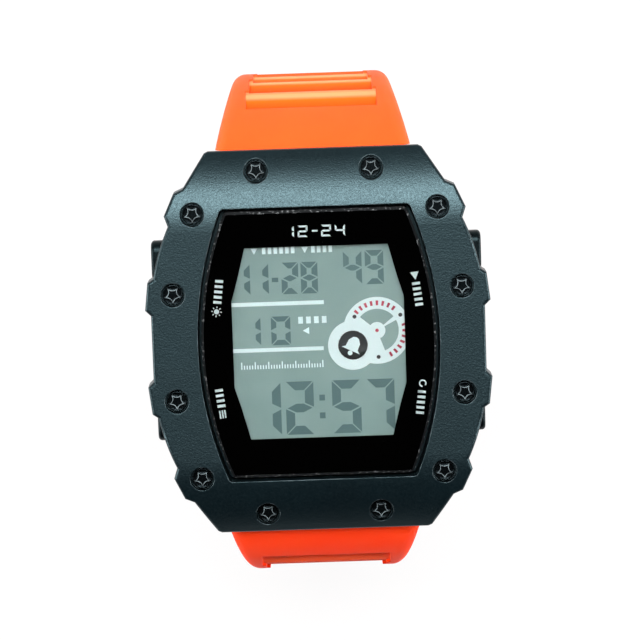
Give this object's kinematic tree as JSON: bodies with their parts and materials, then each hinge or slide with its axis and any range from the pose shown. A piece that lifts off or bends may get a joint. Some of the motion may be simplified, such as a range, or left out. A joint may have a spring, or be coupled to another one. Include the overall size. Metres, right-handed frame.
{
  "type": "digital watch",
  "caption": "Digital sports watch with a black bezel held by star-headed screws, a framed display, side push buttons and an orange buckled strap.",
  "frame": {"origin": "centre of the case back's outer face", "axes": "+Z out of the dial, +Y towards 12 o'clock, +X towards 3 o'clock"},
  "size_m": [0.0428, 0.065, 0.0666],
  "materials": {
    "bezel_resin": "matte, fine grained",
    "case_resin": "matte",
    "button_resin": "semi gloss",
    "strap_resin": "satin orange polyurethane",
    "steel": "brushed",
    "screw_steel": "dark polished",
    "crystal_glass": "polished",
    "border_print": "gloss black print",
    "display_glass": "clear",
    "polariser_film": "grey green film",
    "reflector_film": "silvery film",
    "light_guide_plastic": "clear",
    "lamp": "white",
    "connector_rubber": "striped",
    "module_plastic": "matte",
    "board": "solder mask",
    "chip_resin": "epoxy",
    "ceramic_chip": "tinned ends",
    "coil_copper": "enamelled wire",
    "brass": "plain",
    "gasket_rubber": "greased"
  },
  "bodies": {
    "case": {"case_body": "case_resin", "case_back": "steel", "case_back_screws": "steel", "bezel": "bezel_resin", "bezel_screws": "screw_steel", "crystal": "crystal_glass", "top_spring_bar": "steel", "bottom_spring_bar": "steel", "display_polariser": "polariser_film", "display_front_glass": "display_glass", "display_rear_glass": "display_glass", "display_reflector": "reflector_film", "light_guide": "light_guide_plastic", "backlight_lamp": "lamp", "zebra_strips": "connector_rubber", "module_frame": "module_plastic", "module_base": "module_plastic", "circuit_board": "board", "processor": "chip_resin", "quartz_can": "steel", "capacitors": "ceramic_chip", "stepup_coil": "coil_copper", "battery": "steel", "battery_clip": "steel", "buzzer_disc": "brass", "buzzer_spring": "steel", "side_contacts": "steel", "case_back_gasket": "gasket_rubber", "crystal_border": "border_print", "crystal_gasket": "gasket_rubber", "light_button_spring": "steel", "mode_button_spring": "steel", "start_button_spring": "steel", "reset_button_spring": "steel"},
    "strap_top": {"strap_buckle_side": "strap_resin", "buckle_pin": "steel"},
    "strap_bottom": {"strap_hole_side": "strap_resin"},
    "keeper": {"strap_keeper": "strap_resin"},
    "frame": {"buckle_frame": "steel"},
    "tongue": {"buckle_tongue": "steel"},
    "light_push": {"light_button": "button_resin", "light_button_oring": "gasket_rubber", "light_button_retainer": "steel"},
    "mode_push": {"mode_button": "button_resin", "mode_button_oring": "gasket_rubber", "mode_button_retainer": "steel"},
    "start_push": {"start_button": "button_resin", "start_button_oring": "gasket_rubber", "start_button_retainer": "steel"},
    "reset_push": {"reset_button": "button_resin", "reset_button_oring": "gasket_rubber", "reset_button_retainer": "steel"}
  },
  "joints": [
    {"name": "top_strap_hinge", "type": "hinge", "parent": "case", "child": "strap_top", "pos_m": [0, 0.0205, 0.0043], "axis": [1, 0, 0], "range_deg": [-8, 3]},
    {"name": "bottom_strap_hinge", "type": "hinge", "parent": "case", "child": "strap_bottom", "pos_m": [0, -0.0205, 0.0043], "axis": [-1, 0, 0], "range_deg": [-8, 3]},
    {"name": "buckle_frame_hinge", "type": "hinge", "parent": "strap_top", "child": "frame", "pos_m": [0, -0.004, -0.0319], "axis": [1, 0, 0], "range_deg": [-40, 30]},
    {"name": "buckle_tongue_hinge", "type": "hinge", "parent": "frame", "child": "tongue", "pos_m": [0, -0.004, -0.0319], "axis": [1, 0, 0], "range_deg": [0, 60]},
    {"name": "keeper_slide", "type": "slide", "parent": "strap_top", "child": "keeper", "axis": [0, 1, 0], "range_m": [-0.0015, 0.0044]},
    {"name": "light_button_press", "type": "slide", "parent": "case", "child": "light_push", "axis": [1, 0, 0], "range_m": [0, 0.0008], "stiffness_N_per_m": 150, "springref_m": -0.001, "deforming": ["light_button_spring"]},
    {"name": "mode_button_press", "type": "slide", "parent": "case", "child": "mode_push", "axis": [1, 0, 0], "range_m": [0, 0.0008], "stiffness_N_per_m": 150, "springref_m": -0.001, "deforming": ["mode_button_spring"]},
    {"name": "start_button_press", "type": "slide", "parent": "case", "child": "start_push", "axis": [-1, 0, 0], "range_m": [0, 0.0008], "stiffness_N_per_m": 150, "springref_m": -0.001, "deforming": ["start_button_spring"]},
    {"name": "reset_button_press", "type": "slide", "parent": "case", "child": "reset_push", "axis": [-1, 0, 0], "range_m": [0, 0.0008], "stiffness_N_per_m": 150, "springref_m": -0.001, "deforming": ["reset_button_spring"]}
  ]
}
